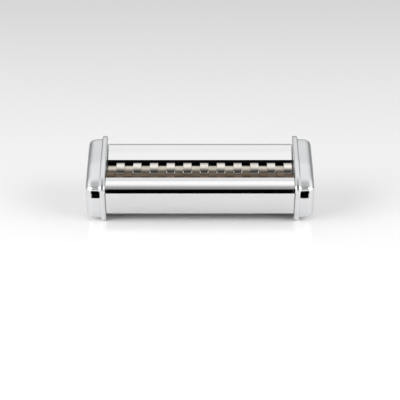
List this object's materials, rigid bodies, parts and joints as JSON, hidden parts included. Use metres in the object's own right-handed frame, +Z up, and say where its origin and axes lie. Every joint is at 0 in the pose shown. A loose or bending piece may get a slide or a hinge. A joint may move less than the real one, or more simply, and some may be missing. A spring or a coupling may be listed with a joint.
{
  "type": "pasta strip cutter attachment",
  "caption": "Pasta cutter attachment: two interleaved ring rollers geared together between moulded end covers, under a bent sheet-metal feed chute.",
  "frame": {"origin": "middle of the footprint at the height of the feet", "axes": "+X along the rollers to the crank end, -Y is the front with the lip and the lower panel, +Z up"},
  "size_m": [0.1744, 0.0647, 0.0544],
  "materials": {
    "cover_chrome": "satin plated",
    "sheet_chrome": "bright plated sheet",
    "roller_steel": "turned, finely scored along the rollers",
    "bush_bronze": "sintered",
    "washer_nylon": "matte",
    "gear_steel": "machined",
    "frame_zinc": "zinc plated",
    "screw_zinc": "zinc plated",
    "clip_steel": "blackened spring steel"
  },
  "bodies": {
    "housing": {"cover_screw_low_left": "screw_zinc", "cover_screw_low_right": "screw_zinc", "cover_screw_top_left": "screw_zinc", "cover_screw_top_right": "screw_zinc", "front_bush_left": "bush_bronze", "front_bush_right": "bush_bronze", "front_chute_plate": "sheet_chrome", "front_comb": "frame_zinc", "front_panel": "sheet_chrome", "front_washer_left": "washer_nylon", "front_washer_right": "washer_nylon", "left_end_cover": "cover_chrome", "left_side_plate": "frame_zinc", "rear_bush_left": "bush_bronze", "rear_bush_right": "bush_bronze", "rear_chute_plate": "sheet_chrome", "rear_comb": "frame_zinc", "rear_panel": "sheet_chrome", "rear_washer_left": "washer_nylon", "rear_washer_right": "washer_nylon", "right_end_cover": "cover_chrome", "right_side_plate": "frame_zinc", "rod_screw_front_low_left": "screw_zinc", "rod_screw_front_low_right": "screw_zinc", "rod_screw_front_top_left": "screw_zinc", "rod_screw_front_top_right": "screw_zinc", "rod_screw_rear_low_left": "screw_zinc", "rod_screw_rear_low_right": "screw_zinc", "rod_screw_rear_top_left": "screw_zinc", "rod_screw_rear_top_right": "screw_zinc", "tie_rod_front_low": "frame_zinc", "tie_rod_front_top": "frame_zinc", "tie_rod_rear_low": "frame_zinc", "tie_rod_rear_top": "frame_zinc"},
    "front_roller": {"front_cutter_roller": "roller_steel", "front_gear": "gear_steel", "front_gear_clip": "clip_steel", "crank_socket": "gear_steel"},
    "rear_roller": {"rear_cutter_roller": "roller_steel", "rear_gear": "gear_steel", "rear_gear_clip": "clip_steel", "rear_end_clip": "clip_steel"}
  },
  "joints": [
    {"name": "front_roller_spin", "type": "hinge", "parent": "housing", "child": "front_roller", "pos_m": [0, -0.009, 0.0269], "axis": [1, 0, 0], "continuous": true},
    {"name": "rear_roller_spin", "type": "hinge", "parent": "housing", "child": "rear_roller", "pos_m": [0, 0.0105, 0.0269], "axis": [1, 0, 0], "continuous": true}
  ],
  "couplings": [
    {"joint": "rear_roller_spin", "follows": "front_roller_spin", "ratio": -1}
  ]
}
